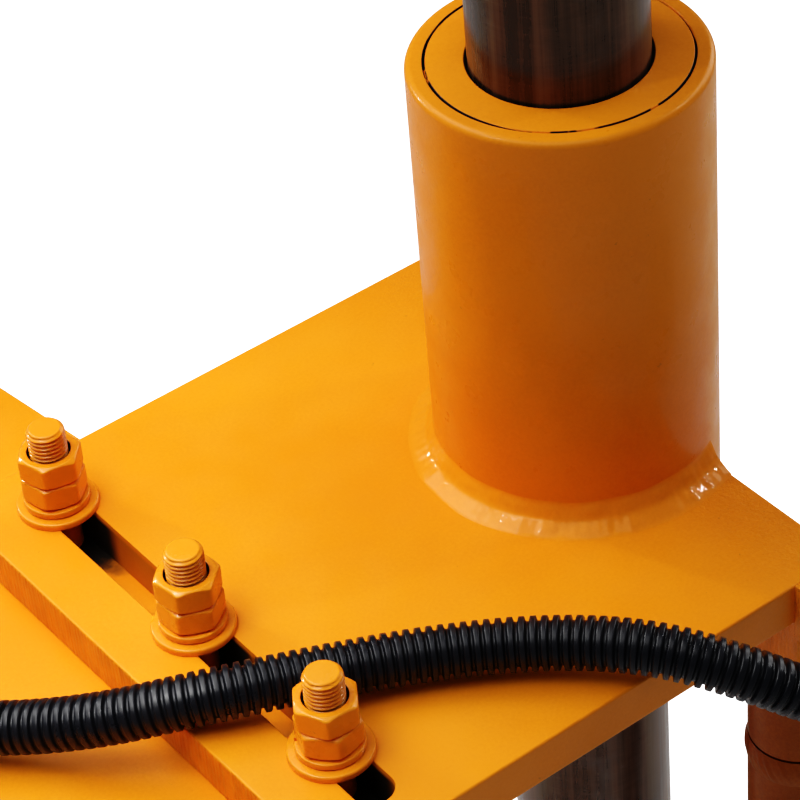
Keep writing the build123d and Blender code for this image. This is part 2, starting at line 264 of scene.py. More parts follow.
def bump(tree, height, distance, strength=1.0, normal=None):
    node = tree.nodes.new("ShaderNodeBump")
    node.inputs["Strength"].default_value = strength
    node.inputs["Distance"].default_value = distance
    tree.links.new(height, node.inputs["Height"])
    if normal is not None:
        tree.links.new(normal, node.inputs["Normal"])
    return node.outputs[0]


def softEdges(tree, radius):
    node = tree.nodes.new("ShaderNodeBevel")
    node.samples = 6
    node.inputs["Radius"].default_value = radius
    return node.outputs[0]


def sideMask(tree):
    # 1 on the faces that look along X, 0 on the others
    normal = tree.nodes.new("ShaderNodeNewGeometry").outputs["True Normal"]
    turned = tree.nodes.new("ShaderNodeVectorTransform")
    turned.vector_type = "NORMAL"
    turned.convert_from = "WORLD"
    turned.convert_to = "OBJECT"
    tree.links.new(normal, turned.inputs[0])
    x, y, z = separate(tree, turned.outputs[0])
    return ramp(tree, calc(tree, "ABSOLUTE", x), 0.5, 0.9)


def radialDistance(tree):
    x, y, z = separate(tree, objectSpot(tree))
    square = calc(tree, "ADD", calc(tree, "MULTIPLY", x, x), calc(tree, "MULTIPLY", y, y))
    return calc(tree, "SQRT", square)


amber = {
    "light": (0.87, 0.305, 0.022),
    "deep": (0.80, 0.262, 0.014),
    "roughness": 0.34,
    "specular": 0.30,
    "coat": 0.0,
    "coatRoughness": 0.10,
    "peelScale": 420.0,
    "peelDepth": 0.00012,
    "swellScale": 34.0,
    "swellDepth": 0.0004,
    "edgeRadius": 0.0009,
    "flameCut": 0.0,
    "sandyEdge": 0.0,
}


def flameCutFace(tree, settings, colour, normal):
    # Drag lines and pits on the faces that look along X, except inside the slot
    x, y, z = separate(tree, objectSpot(tree))
    offSlot = calc(tree, "ABSOLUTE", calc(tree, "SUBTRACT", x, studX))
    upright = calc(tree, "MULTIPLY", sideMask(tree), ramp(tree, offSlot, 0.0092, 0.0098))
    wander = noise(tree, objectSpot(tree, (60.0, 60.0, 12.0)), 1.0, 3.0, 0.5)
    phase = calc(tree, "ADD", calc(tree, "MULTIPLY", calc(tree, "ADD", x, y), 2600.0),
                 calc(tree, "MULTIPLY", wander, 18.0))
    drag = calc(tree, "SINE", phase)
    pits = noise(tree, objectSpot(tree, (1.0, 1.0, 0.35)), 330.0, 4.0, 0.65)
    cut = calc(tree, "ADD", calc(tree, "MULTIPLY", drag, 0.10), calc(tree, "MULTIPLY", pits, 1.6))
    cut = calc(tree, "MULTIPLY", cut, upright)
    normal = bump(tree, cut, settings["flameCut"], 0.8, normal)
    dulled = tuple(part * 0.82 for part in settings["deep"])
    patchy = noise(tree, objectSpot(tree, (1.0, 1.0, 0.5)), 150.0, 4.0, 0.6)
    patchy = ramp(tree, patchy, 0.35, 0.65, 0.35, 0.95)
    return blended(tree, calc(tree, "MULTIPLY", upright, patchy), colour, dulled), normal


def paint(name, settings):
    material, tree, shader = newMaterial(name)
    spot = objectSpot(tree)
    broad = noise(tree, spot, 9.0, 4.0, 0.55)
    fine = noise(tree, spot, 700.0, 2.0, 0.6)
    tone = calc(tree, "ADD", calc(tree, "MULTIPLY", broad, 0.7), calc(tree, "MULTIPLY", fine, 0.3))
    colour = blended(tree, ramp(tree, tone, 0.35, 0.65), settings["deep"], settings["light"])
    specks = ramp(tree, noise(tree, spot, 260.0, 3.0, 0.7), 0.70, 0.78)
    dirt = tuple(part * 0.35 for part in settings["deep"])
    colour = blended(tree, calc(tree, "MULTIPLY", specks, 0.35), colour, dirt)
    peel = noise(tree, spot, settings["peelScale"], 2.0, 0.45)
    normal = softEdges(tree, settings["edgeRadius"]) if settings["edgeRadius"] > 0 else None
    if settings["flameCut"] > 0:
        colour, normal = flameCutFace(tree, settings, colour, normal)
    if settings["sandyEdge"] > 0:
        x, y, z = separate(tree, spot)
        sand = calc(tree, "MULTIPLY", noise(tree, spot, 620.0, 3.0, 0.6), ramp(tree, x, -0.030, 0.018))
        normal = bump(tree, sand, settings["sandyEdge"], 1.0, normal)
    swell = noise(tree, spot, settings["swellScale"], 2.0, 0.4)
    normal = bump(tree, swell, settings["swellDepth"], 0.35, normal)
    normal = bump(tree, peel, settings["peelDepth"], 0.6, normal)
    shine = ramp(tree, noise(tree, spot, 55.0, 4.0, 0.6), 0.3, 0.7,
                 settings["roughness"] - 0.06, settings["roughness"] + 0.10)
    tree.links.new(shine, shader.inputs["Roughness"])
    tree.links.new(normal, shader.inputs["Normal"])
    shader.inputs["Specular IOR Level"].default_value = settings["specular"]
    shader.inputs["Coat Weight"].default_value = settings["coat"]
    shader.inputs["Coat Roughness"].default_value = settings["coatRoughness"]
    tree.links.new(colour, shader.inputs["Base Color"])
    return material, tree, shader


def darkened(tree, shader, mask, colour, roughness):
    # Lays a darker colour over what the shader shows, where the mask is 1: dark joints, and painted shade in
    # the slot, the nut mouths and the bush bore
    socket = shader.inputs["Base Color"]
    under = socket.links[0].from_socket
    tree.links.new(blended(tree, mask, under, colour), socket)
    rough = shader.inputs["Roughness"]
    dull = tree.nodes.new("ShaderNodeMix")
    put(tree, dull, 0, mask)
    put(tree, dull, 2, rough.links[0].from_socket)
    put(tree, dull, 3, roughness)
    tree.links.new(dull.outputs[0], rough)
    shine = shader.inputs["Coat Weight"]
    tree.links.new(ramp(tree, mask, 0.0, 1.0, shine.default_value, 0.0), shine)


def nearStud(tree, y, reach):
    # 1 close to a stud, falling to 0 at the given reach; it shapes the painted shade round each washer, which
    # also stands for steel that the washer's spray shadow left unpainted
    closest = None
    for centre in studY:
        gap = calc(tree, "ABSOLUTE", calc(tree, "SUBTRACT", y, centre))
        closest = gap if closest is None else calc(tree, "MINIMUM", closest, gap)
    return ramp(tree, closest, reach, reach * 0.55)


def inSlot(tree, x):
    return ramp(tree, calc(tree, "ABSOLUTE", calc(tree, "SUBTRACT", x, studX)), 0.0092, 0.0088)


def openJoint(tree, distance):
    # 1 in the joint between bush and sleeve, except where paint bridges it or has run into it
    bridges = ramp(tree, noise(tree, objectSpot(tree), 60.0, 3.0, 0.6), 0.38, 0.42)
    filling = ramp(tree, noise(tree, objectSpot(tree), 14.0, 2.0, 0.5), 0.42, 0.60, 0.0, 0.00045)
    return calc(tree, "MULTIPLY", ramp(tree, calc(tree, "ADD", distance, filling), 0.00075, 0.00050), bridges)


print("materials")
platePaint, tree, shader = paint("amber paint, plate", {**amber, "flameCut": 0.0006, "sandyEdge": 0.0005})
x, y, z = separate(tree, objectSpot(tree))
# Dark steel for the slot near the studs: painted shade there, also standing for steel left unpainted behind
# the washers
bareSteelAndShade = (0.022, 0.017, 0.012)
below = ramp(tree, z, deckZ - 0.0012, deckZ - 0.004)
# Painted shade on the slot walls below the deck, strongest near the studs, also standing for unpainted steel
slotWallShadeAndBareSteel = calc(tree, "MULTIPLY", calc(tree, "MULTIPLY", inSlot(tree, x), below),
                 ramp(tree, nearStud(tree, y, 0.034), 0.0, 1.0, 0.35, 1.0))
darkened(tree, shader, slotWallShadeAndBareSteel, bareSteelAndShade, 0.6)

carrierPaint, tree, shader = paint("amber paint, carrier", {**amber, "flameCut": 0.0006})
x, y, z = separate(tree, objectSpot(tree))
# Painted shade on the slot floor round each stud, with a ragged edge, also standing for steel the washers
# kept from the spray
ragged = calc(tree, "ADD", y, ramp(tree, noise(tree, objectSpot(tree), 90.0, 3.0), 0.3, 0.7, -0.004, 0.004))
studShadeAndBareSteel = calc(tree, "MULTIPLY", inSlot(tree, x), nearStud(tree, ragged, 0.036))
darkened(tree, shader, studShadeAndBareSteel, bareSteelAndShade, 0.55)
# Pale flecks on the slot floor
paleFlecks = ramp(tree, noise(tree, objectSpot(tree), 210.0, 2.0, 0.5), 0.755, 0.765)
socket = shader.inputs["Base Color"]
tree.links.new(blended(tree, calc(tree, "MULTIPLY", paleFlecks, inSlot(tree, x)), socket.links[0].from_socket,
                       (0.8, 0.78, 0.72)), socket)

sleevePaint, tree, shader = paint("amber paint, sleeve", {
    **amber, "peelScale": 520.0, "peelDepth": 0.00010, "swellScale": 22.0, "swellDepth": 0.0005,
    "edgeRadius": 0.0004, "roughness": 0.32, "specular": 0.25, "coat": 0.12, "coatRoughness": 0.08})
radius = radialDistance(tree)
fromJoint = calc(tree, "ABSOLUTE", calc(tree, "SUBTRACT", radius, sleeveInner))
darkened(tree, shader, openJoint(tree, fromJoint), (0.020, 0.010, 0.005), 0.8)

fastenerCoat = {**amber, "roughness": 0.26, "coat": 0.25, "peelScale": 300.0, "peelDepth": 0.00008,
                "swellScale": 120.0, "swellDepth": 0.0004, "edgeRadius": 0.0005}
hardwarePaint, tree, shader = paint("amber paint, hardware", fastenerCoat)

weldPaint, tree, shader = paint("amber paint, weld", {
    **amber, "roughness": 0.38, "specular": 0.15, "coat": 0.40, "coatRoughness": 0.05, "peelScale": 260.0,
    "peelDepth": 0.00005, "swellScale": 80.0, "swellDepth": 0.0014, "edgeRadius": 0.0})

# The ram wears the same amber paint as the rest; its darker colours are painted shade, for the ram standing
# in shadow under the plate
ramAmberShaded, tree, shader = paint("amber paint, ram, painted shade", {
    **amber, "light": (0.44, 0.135, 0.010), "deep": (0.33, 0.092, 0.006), "roughness": 0.38, "specular": 0.2,
    "peelDepth": 0.00020, "swellScale": 60.0, "swellDepth": 0.0008, "edgeRadius": 0.0})


def bushMaterial():
    material, tree, shader = paint("bush, painted top", {
        **amber, "peelDepth": 0.00012, "edgeRadius": 0.0003})
    radius = radialDistance(tree)
    groove = openJoint(tree, calc(tree, "SUBTRACT", sleeveInner, radius))
    # The groove is a dark joint; the darkened bore chamfer is painted shade beside the column, also standing
    # for grease on it
    bore = ramp(tree, radius, columnR + 0.0016, columnR + 0.0009)
    darkened(tree, shader, calc(tree, "MAXIMUM", groove, bore), (0.012, 0.009, 0.008), 0.35)
    return material


columnCoat = {
    "darkFilm": (0.080, 0.048, 0.031), "lightFilm": (0.195, 0.124, 0.083), "greyPatch": (0.135, 0.115, 0.105),
    "wipedSteel": (0.30, 0.29, 0.29), "darkStreak": (0.045, 0.030, 0.022)}


def columnMaterial():
    # Steel under a brown oil film that has run down it, with wiped bands and grey patches
    material, tree, shader = newMaterial("oily ground steel")
    spot = objectSpot(tree)
    runs = noise(tree, objectSpot(tree, (1.0, 1.0, 0.035)), 80.0, 5.0, 0.62)
    fineRuns = noise(tree, objectSpot(tree, (1.0, 1.0, 0.02)), 420.0, 3.0, 0.6)
    tilted = noise(tree, objectSpot(tree, (0.22, 0.22, 1.0)), 170.0, 5.0, 0.7, 1.2)
    patches = noise(tree, spot, 22.0, 5.0, 0.62, 0.6)
    film = calc(tree, "ADD", calc(tree, "MULTIPLY", runs, 0.62), calc(tree, "MULTIPLY", fineRuns, 0.26))
    film = calc(tree, "ADD", film, calc(tree, "MULTIPLY", tilted, 0.12))
    colour = blended(tree, ramp(tree, film, 0.40, 0.64), columnCoat["darkFilm"], columnCoat["lightFilm"])
    colour = blended(tree, ramp(tree, patches, 0.50, 0.72, 0.0, 0.8), colour, columnCoat["greyPatch"])
    wiped = calc(tree, "MULTIPLY", ramp(tree, tilted, 0.60, 0.70), ramp(tree, patches, 0.45, 0.6))
    colour = blended(tree, calc(tree, "MULTIPLY", wiped, 0.35), colour, columnCoat["wipedSteel"])
    dark = ramp(tree, noise(tree, objectSpot(tree, (1.0, 1.0, 0.12)), 30.0, 4.0, 0.6), 0.50, 0.66)
    colour = blended(tree, calc(tree, "MULTIPLY", dark, 0.35), colour, columnCoat["darkStreak"])
    tree.links.new(colour, shader.inputs["Base Color"])
    shader.inputs["Metallic"].default_value = 0.6
    tree.links.new(ramp(tree, film, 0.35, 0.65, 0.20, 0.48), shader.inputs["Roughness"])
    shader.inputs["Specular IOR Level"].default_value = 0.4
    shader.inputs["Coat Weight"].default_value = 0.25
    shader.inputs["Coat Roughness"].default_value = 0.16
    normal = bump(tree, runs, 0.0004, 0.4)
    tree.links.new(bump(tree, tilted, 0.0001, 0.3, normal), shader.inputs["Normal"])
    return material


def metal(name, settings):
    material, tree, shader = newMaterial(name)
    spot = objectSpot(tree)
    grain = noise(tree, spot, settings["grain"], 4.0, 0.6)
    worn = noise(tree, spot, 60.0, 4.0, 0.6)
    tree.links.new(blended(tree, ramp(tree, worn, 0.35, 0.7), settings["light"], settings["deep"]),
                   shader.inputs["Base Color"])
    shader.inputs["Metallic"].default_value = 1.0
    tree.links.new(ramp(tree, grain, 0.3, 0.7, settings["roughness"] * 0.8, settings["roughness"] * 1.4),
                   shader.inputs["Roughness"])
    normal = softEdges(tree, 0.0003)
    tree.links.new(bump(tree, grain, settings["depth"], 0.4, normal), shader.inputs["Normal"])
    return material


def plastic(name, settings):
    material, tree, shader = newMaterial(name)
    spot = objectSpot(tree)
    grain = noise(tree, spot, settings["grain"], 3.0, 0.6)
    dust = noise(tree, spot, 38.0, 5.0, 0.65)
    dusty = ramp(tree, dust, 0.45, 0.75, 0.0, settings["dust"])
    tree.links.new(blended(tree, dusty, settings["colour"], (0.30, 0.28, 0.25)), shader.inputs["Base Color"])
    tree.links.new(ramp(tree, dust, 0.35, 0.75, settings["roughness"], settings["roughness"] + 0.15),
                   shader.inputs["Roughness"])
    normal = softEdges(tree, 0.0004)
    tree.links.new(bump(tree, grain, settings["depth"], 0.4, normal), shader.inputs["Normal"])
    return material


bushPaint = bushMaterial()
oiledSteel = columnMaterial()
zincSteel = metal("zinc plate", {
    "light": (0.62, 0.62, 0.60), "deep": (0.42, 0.42, 0.40), "grain": 500.0, "roughness": 0.32,
    "depth": 0.00006})
darkSteel = metal("blackened steel", {
    "light": (0.10, 0.10, 0.11), "deep": (0.05, 0.045, 0.04), "grain": 600.0, "roughness": 0.38,
    "depth": 0.00006})
hardChrome = metal("hard chrome", {
    "light": (0.80, 0.81, 0.83), "deep": (0.72, 0.73, 0.75), "grain": 900.0, "roughness": 0.10,
    "depth": 0.00001})
contactBrass = metal("contact brass", {
    "light": (0.72, 0.52, 0.22), "deep": (0.55, 0.38, 0.15), "grain": 700.0, "roughness": 0.28,
    "depth": 0.00003})
conduitPlastic = plastic("black conduit", {
    "colour": (0.0155, 0.0165, 0.0220), "grain": 900.0, "roughness": 0.27, "depth": 0.00003, "dust": 0.010})
blackPlastic = plastic("black plastic", {
    "colour": (0.012, 0.012, 0.013), "grain": 1400.0, "roughness": 0.42, "depth": 0.00008, "dust": 0.05})
greyPlastic = plastic("grey box", {
    "colour": (0.19, 0.20, 0.21), "grain": 1600.0, "roughness": 0.46, "depth": 0.00010, "dust": 0.10})
sealRubber = plastic("seal rubber", {
    "colour": (0.010, 0.010, 0.010), "grain": 900.0, "roughness": 0.60, "depth": 0.00006, "dust": 0.06})


print("column, sleeve and bushes")
columnSet = {"length": 0.810, "chamfer": 0.002, "journalR": 0.030, "journal": 0.060,
             "hole": 0.005, "deep": 0.022}
high, cut, journalR, journal, hole, deep = columnSet.values()
column = makeObject("column", lathe("column", [
    (0.00001, 0.0, 0), (journalR - cut, 0.0, 0.0003), (journalR, cut, 0.0003), (journalR, journal, 0),
    (columnR - cut, journal, 0.0003), (columnR, journal + cut, 0.0003),
    (columnR, high - journal - cut, 0.0003), (columnR - cut, high - journal, 0.0003),
    (journalR, high - journal, 0), (journalR, high - cut, 0.0003),
    (journalR - cut, high, 0.0003), (hole, high, 0.0003), (hole, high - deep, 0), (0.00001, high - deep, 0)],
    256, 30, 3))
installed(column, "column", oiledSteel, ["guide_column"])

sleeveSet = {"rise": 0.185, "drop": 0.060, "rounding": 0.003, "gap": 0.0005}
top, bottom = deckZ + sleeveSet["rise"], deckZ - sleeveSet["drop"]
gap, rounding = sleeveSet["gap"], sleeveSet["rounding"]
sleeve = makeObject("sleeve", lathe("sleeve", [
    (sleeveInner, bottom + gap, 0), (sleeveInner + gap, bottom, 0.0002), (sleeveOuter, bottom, rounding),
    (sleeveOuter, top, rounding), (sleeveInner + gap, top, 0.0003), (sleeveInner, top - gap * 2, 0)],
    256, 30, 8))
installed(sleeve, "crosshead", sleevePaint, ["guide_sleeve"])

bushSet = {"bore": 0.03505, "length": 0.062, "wiper": 0.006, "bevel": 0.0013}
for name, node, low in (("upperBush", "upper_bush", top - bushSet["length"]),
                        ("lowerBush", "lower_bush", bottom + bushSet["wiper"])):
    high, bore, bevel = low + bushSet["length"], bushSet["bore"], bushSet["bevel"]
    bush = makeObject(name, lathe(name, [
        (bore, low + bevel, 0), (bore + bevel, low, 0.0002), (sleeveInner - gap, low, 0.0002),
        (sleeveInner, low + gap * 2, 0), (sleeveInner, high - gap * 2, 0), (sleeveInner - gap, high, 0.0003),
        (bore + bevel, high, 0.0005), (bore, high - bevel, 0)], 256, 30, 4))
    installed(bush, "crosshead", bushPaint, [node])


weldSet = {"leg": 0.0110, "cutX": 0.0275, "columns": 720, "rows": 24, "seed": 7,
           "bead": 0.0004, "ripple": 0.00005, "wobble": 0.00055, "pitch": 0.0040}


def waves(generator, count, low, high):
    return [(generator.randint(low, high), generator.uniform(0, 2 * math.pi), generator.uniform(0.4, 1.0))
            for k in range(count)]


def waveSum(parts, angle):
    return sum(size * math.sin(order * angle + phase) for order, phase, size in parts) / len(parts) ** 0.5


def weldRing(name, level, upward, seed):
    # Two runs of weld side by side in a hollow fillet, with a wandering toe, soft humps and faint ripples
    generator = random.Random(seed)
    toe, root, humps, crests = (waves(generator, 6, 4, 17), waves(generator, 6, 4, 15),
                                waves(generator, 8, 9, 34), waves(generator, 8, 12, 44))
    leg = weldSet["leg"]
    rows = []
    for i in range(weldSet["columns"]):
        angle = 2 * math.pi * i / weldSet["columns"]
        reach = leg + weldSet["wobble"] * waveSum(toe, angle)
        climb = leg + weldSet["wobble"] * waveSum(root, angle)
        ripplePhase = angle * sleeveOuter / weldSet["pitch"] * 2 * math.pi
        strip = []
        for k in range(weldSet["rows"] + 1):
            t = k / weldSet["rows"]
            # t runs from the sleeve to the plate
            quarter = t * math.pi / 2
            out = reach * (0.75 * (1 - math.cos(quarter)) + 0.25 * t)
            rise = climb * (0.75 * (1 - math.sin(quarter)) + 0.25 * (1 - t))
            upperRun = math.sin(min(t / 0.5, 1.0) * math.pi) ** 2
            upperRun *= 1 + 0.6 * waveSum(humps, angle)
            lowerRun = math.sin(max((t - 0.42) / 0.58, 0.0) * math.pi) ** 2
            lowerRun *= 1 + 0.6 * waveSum(crests, angle)
            grain = math.sin(t * math.pi) * math.sin(ripplePhase + 2.0 * t) * weldSet["ripple"]
            lift = weldSet["bead"] * (upperRun + lowerRun) + grain
            radius = sleeveOuter + out + lift * 0.7
            height = level + upward * (rise + lift * 0.7)
            x, y = radius * math.cos(angle), radius * math.sin(angle)
            strip.append((min(x, weldSet["cutX"]), y, height))
        x, y = (sleeveOuter - 0.0005) * math.cos(angle), (sleeveOuter - 0.0005) * math.sin(angle)
        strip.append((min(x, weldSet["cutX"]), y, level - upward * 0.0004))
        rows.append(strip if upward < 0 else strip[::-1])
    return makeObject(name, gridMesh(name, rows, True, 75))


print("welds")
for name, node, level, upward in (("upperWeld", "upper_weld", deckZ, 1),
                                  ("lowerWeld", "lower_weld", deckZ - plateT, -1)):
    weld = weldRing(name, level, upward, weldSet["seed"] + upward)
    installed(weld, "crosshead", weldPaint, [node])

beadSet = {"x": 0.024, "y": -0.1085, "top": 0.310, "height": 0.014, "inner": 0.0205, "radius": 0.021,
           "rise": 0.0015, "rows": 16, "columns": 240, "seed": 3}


def beadRing(height, swell):
    # One ring round the ram, with its radius and its height left to swell(angle)
    row = []
    for i in range(beadSet["columns"]):
        angle = 2 * math.pi * i / beadSet["columns"]
        radius, wander = swell(angle)
        row.append((beadSet["x"] + radius * math.cos(angle), beadSet["y"] + radius * math.sin(angle),
                    height + wander))
    return row


crown = waves(random.Random(beadSet["seed"]), 8, 9, 40)
rows = []
for k in range(beadSet["rows"] + 1):
    t = k / beadSet["rows"]
    belly = math.sin(t * math.pi)
    rows.append(beadRing(beadSet["top"] - beadSet["height"] * (1 - t), lambda angle: (
        beadSet["radius"] + belly * (beadSet["rise"] - 0.0004 + 0.00035 * waveSum(crown, angle + 0.3 * t)),
        0.0005 * waveSum(crown[:4], angle) * belly)))
for height in (beadSet["top"], beadSet["top"] - beadSet["height"]):
    rows.append(beadRing(height, lambda angle: (beadSet["inner"], 0.0)))
bead = makeObject("ramBead", gridMesh("ramBead", rows, True, 60))
installed(bead, "crosshead", ramAmberShaded, ["ram_weld_bead"])


def clamp01(tree, value, low, high):
    # 0 below low, 1 above high and a straight line between
    return ramp(tree, value, low, high, 0.0, 1.0, False)


def mixed(tree, factor, first, second):
    span = calc(tree, "SUBTRACT", second, first)
    return calc(tree, "ADD", first, calc(tree, "MULTIPLY", span, factor))


def nutShape(tree, given, angle, row):
    width, tall, bore, mouth = given["Across flats"], given["Height"], given["Bore"], given["Mouth"]
    bottomPart = clamp01(tree, row, 0.0, 0.12)
    side = clamp01(tree, row, 0.12, 0.72)
    topPart = clamp01(tree, row, 0.72, 0.88)
    inner = clamp01(tree, row, 0.88, 1.0)
    shifted = calc(tree, "ADD", angle, math.pi / 6)
    sector = calc(tree, "SUBTRACT", calc(tree, "FLOORED_MODULO", shifted, math.pi / 3), math.pi / 6)
    flat = calc(tree, "DIVIDE", calc(tree, "MULTIPLY", width, 0.5), calc(tree, "COSINE", sector))
    corner = calc(tree, "MULTIPLY", width, 0.5 / math.cos(math.pi / 6) * 0.985)
    flat = calc(tree, "SMOOTH_MIN", flat, corner, 0.0012)
    height = calc(tree, "MULTIPLY", side, tall)
    nearEnd = calc(tree, "MINIMUM", height, calc(tree, "SUBTRACT", tall, height))
    cone = calc(tree, "ADD", calc(tree, "MULTIPLY", width, 0.472), calc(tree, "MULTIPLY", nearEnd, 1.65))
    outer = calc(tree, "SMOOTH_MIN", flat, cone, 0.0006)
    radius = mixed(tree, bottomPart, bore, outer)
    radius = mixed(tree, topPart, radius, mouth)
    radius = mixed(tree, inner, radius, bore)
    height = calc(tree, "SUBTRACT", height, calc(tree, "MULTIPLY", inner, 0.0016))
    return radius, height


def studShape(tree, given, angle, row):
    size, depth, pitch, tall = given["Radius"], given["Depth"], given["Pitch"], given["Length"]
    start = clamp01(tree, row, 0.0, 0.03)
    side = clamp01(tree, row, 0.03, 0.95)
    cap = clamp01(tree, row, 0.95, 1.0)
    height = calc(tree, "MULTIPLY", side, tall)
    turns = calc(tree, "SUBTRACT", calc(tree, "DIVIDE", height, pitch),
                 calc(tree, "DIVIDE", angle, 2 * math.pi))
    wave = calc(tree, "COSINE", calc(tree, "MULTIPLY", turns, 2 * math.pi))
    wave = calc(tree, "POWER", calc(tree, "MULTIPLY_ADD", wave, 0.5, 0.5), 0.85)
    inThread = calc(tree, "LESS_THAN", calc(tree, "SUBTRACT", tall, height), given["Threaded"])
    cutDepth = calc(tree, "MULTIPLY", calc(tree, "SUBTRACT", 1.0, wave), depth)
    groove = calc(tree, "MULTIPLY", cutDepth, inThread)
    body = calc(tree, "SUBTRACT", size, groove)
    bevel = calc(tree, "ADD", calc(tree, "SUBTRACT", size, 0.0016), calc(tree, "SUBTRACT", tall, height))
    body = calc(tree, "SMOOTH_MIN", body, bevel, 0.0006)
    radius = calc(tree, "MULTIPLY", body, start)
    radius = calc(tree, "MULTIPLY", radius, calc(tree, "SUBTRACT", 1.0, cap))
    return radius, height


print("studs, washers and nuts")
nutSet = {"Across flats": 0.0240, "Height": 0.0112, "Bore": 0.00802, "Mouth": 0.0091}
studSet = {"Radius": 0.0080, "Depth": 0.00125, "Pitch": 0.0020, "Length": 0.0811, "Threaded": 0.036}
washerSet = {"outer": 0.0170, "inner": 0.00875, "thick": 0.0030}
springSet = {"outer": 0.0137, "inner": 0.0083, "thick": 0.0038, "rounding": 0.0006, "lift": 0.0004,
             "slitAngle": 140.0, "slit": 0.10, "twist": 0.0004, "steps": 120}
nutTurns = ((12.0, 16.0), (4.0, 9.0), (41.0, 26.0))
slideGap = 0.00005
nutGroup = surfaceGroup("hex nut", nutSet, 144, 60, nutShape)
studGroup = surfaceGroup("threaded stud", studSet, 72, 330, studShape)


def springWasher(name, centre):
    # A square bar bent round, with a slit between its two ends
    inner, outer, lift, steps = (springSet[key] for key in ("inner", "outer", "lift", "steps"))
    high = springSet["thick"] - lift
    section = roundedProfile([(inner, lift, 0.0003), (outer, lift, springSet["rounding"]),
                              (outer, high, springSet["rounding"]), (inner, high, 0.0003)], 4)
    rows = []
    for i in range(steps + 1):
        part = i / steps
        angle = math.radians(springSet["slitAngle"]) + springSet["slit"] / 2
        angle += part * (2 * math.pi - springSet["slit"])
        drop = springSet["twist"] * (part - 0.5)
        rows.append([(centre[0] + radius * math.cos(angle), centre[1] + radius * math.sin(angle),
                      centre[2] + height + drop) for radius, height in section])
    mesh = bpy.data.meshes.new(name)
    count = len(rows[0])
    faces = []
    for i in range(steps):
        for k in range(count):
            m = (k + 1) % count
            faces.append((i * count + k, (i + 1) * count + k, (i + 1) * count + m, i * count + m))
    faces.append(tuple(range(count)))
    faces.append(tuple(range(steps * count + count - 1, steps * count - 1, -1)))
    mesh.from_pydata([point for row in rows for point in row], [], faces)
    mesh.shade_smooth()
    mesh.set_sharp_from_angle(angle=math.radians(50))
    return makeObject(name, mesh)


nutPaintShadedMouth, tree, shader = paint("amber paint, nut", fastenerCoat)
x, y, z = separate(tree, objectSpot(tree))
dx = calc(tree, "ABSOLUTE", calc(tree, "SUBTRACT", x, studX))
closest = None
for centre in studY:
    dy = calc(tree, "SUBTRACT", y, centre)
    gap2 = calc(tree, "ADD", calc(tree, "MULTIPLY", dx, dx), calc(tree, "MULTIPLY", dy, dy))
    closest = gap2 if closest is None else calc(tree, "MINIMUM", closest, gap2)
# Painted shade in the nut's mouth and bore, also standing for the chamfer left unpainted
ring = ramp(tree, calc(tree, "SQRT", closest), nutSet["Mouth"] + 0.0001, nutSet["Mouth"] - 0.0002)
darkened(tree, shader, ring, (0.006, 0.004, 0.003), 0.7)

for number, y in enumerate(studY, start=1):
    base = deckZ + slideGap
    springBase = base + washerSet["thick"]
    studLow = base + 0.041 - studSet["Length"]
    stud = grown(f"stud{number}", studGroup, studSet, hardwarePaint, Matrix.Translation((studX, y, studLow)))
    installed(stud, "carrier", hardwarePaint, [f"stud_{number}"])
    washer = lathe(f"washer{number}", [
        (washerSet["inner"], base, 0), (washerSet["outer"], base, 0.0002),
        (washerSet["outer"], springBase, 0.0010), (washerSet["inner"], springBase, 0.0004)], 128, 40, 5)
    washer.transform(Matrix.Translation((studX, y, 0)))
    washer = makeObject(f"washer{number}", washer)
    installed(washer, "carrier", hardwarePaint, [f"flat_washer_{number}"])
    spring = springWasher(f"springWasher{number}", (studX, y, springBase))
    installed(spring, "carrier", hardwarePaint, [f"spring_washer_{number}"])
    nutBase = springBase + springSet["thick"]
    for level, place in enumerate(("lower", "upper")):
        turn = math.radians(nutTurns[number - 1][level])
        nutLow = nutBase + level * nutSet["Height"]
        at = Matrix.Translation((studX, y, nutLow)) @ Matrix.Rotation(turn, 4, "Z")
        nut = grown(f"{place}Nut{number}", nutGroup, nutSet, nutPaintShadedMouth, at)
        installed(nut, "carrier", nutPaintShadedMouth, [f"{place}_nut_{number}"])


